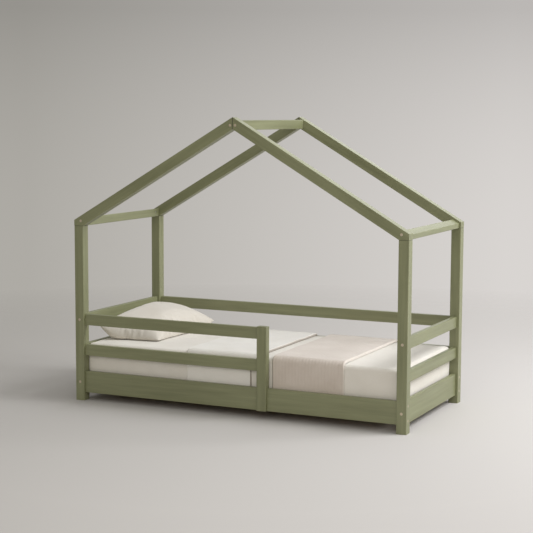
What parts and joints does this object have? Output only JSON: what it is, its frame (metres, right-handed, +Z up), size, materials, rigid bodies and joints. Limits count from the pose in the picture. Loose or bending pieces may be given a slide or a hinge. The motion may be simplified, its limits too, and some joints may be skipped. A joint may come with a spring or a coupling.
{
  "type": "toddler bed",
  "caption": "House-frame toddler bed with pitched roof beams, guard rails along half of the front and the whole back, a slatted base, mattress, bedding and pillow.",
  "frame": {"origin": "on the floor under the middle of the bed's outside box", "axes": "+X along the bed to the foot end, +Y across the bed from the open front to the back, +Z up"},
  "size_m": [1.68, 0.78, 1.3592],
  "materials": {
    "painted_wood": "sage green satin paint over planed pine",
    "bare_pine": "planed, unpainted",
    "beech_dowel": "turned, unpainted",
    "bronzed_bolt": "bronzed steel, satin",
    "zinc_nut": "zinc plated",
    "zinc_screw": "yellow zinc plated",
    "webbing": "woven polyester tape",
    "fitted_sheet": "natural cotton jersey over foam",
    "white_cotton": "off-white cotton, lightly quilted",
    "ribbed_throw": "beige ribbed weave",
    "pillow_cotton": "cream cotton pillowcase"
  },
  "bodies": {
    "frame": {"back_mid_rail": "painted_wood", "back_top_rail": "painted_wood", "eaves_beam_foot": "painted_wood", "eaves_beam_head": "painted_wood", "end_barrel_nuts": "zinc_nut", "end_bolts": "bronzed_bolt", "end_dowels": "beech_dowel", "foot_end_board": "painted_wood", "foot_mid_rail": "painted_wood", "foot_top_rail": "painted_wood", "guard_mid_rail": "painted_wood", "guard_post": "painted_wood", "guard_post_screws": "zinc_screw", "guard_top_rail": "painted_wood", "head_end_board": "painted_wood", "head_mid_rail": "painted_wood", "head_top_rail": "painted_wood", "ledge_screws": "zinc_screw", "post_back_foot": "painted_wood", "post_back_head": "painted_wood", "post_front_foot": "painted_wood", "post_front_head": "painted_wood", "rafter_back_foot": "painted_wood", "rafter_back_head": "painted_wood", "rafter_dowels": "beech_dowel", "rafter_front_foot": "painted_wood", "rafter_front_head": "painted_wood", "rail_dowels": "beech_dowel", "ridge_beam": "painted_wood", "roof_barrel_nuts": "zinc_nut", "roof_bolts": "bronzed_bolt", "side_barrel_nuts": "zinc_nut", "side_board_back": "painted_wood", "side_board_front": "painted_wood", "side_bolts": "bronzed_bolt", "slat_01": "bare_pine", "slat_02": "bare_pine", "slat_03": "bare_pine", "slat_04": "bare_pine", "slat_05": "bare_pine", "slat_06": "bare_pine", "slat_07": "bare_pine", "slat_08": "bare_pine", "slat_09": "bare_pine", "slat_10": "bare_pine", "slat_11": "bare_pine", "slat_12": "bare_pine", "slat_13": "bare_pine", "slat_14": "bare_pine", "slat_ledge_back": "bare_pine", "slat_ledge_front": "bare_pine", "slat_screws": "zinc_screw", "slat_tape_back": "webbing", "slat_tape_front": "webbing"},
    "bedding": {"mattress": "fitted_sheet", "bedcover": "white_cotton", "throw": "ribbed_throw"},
    "pillow_body": {"pillow": "pillow_cotton"}
  },
  "joints": [
    {"name": "mattress_lift", "type": "slide", "parent": "frame", "child": "bedding", "axis": [0, 0, 1], "range_m": [0, 0.4]},
    {"name": "pillow_lift", "type": "slide", "parent": "bedding", "child": "pillow_body", "axis": [0, 0, 1], "range_m": [0, 0.3]}
  ]
}
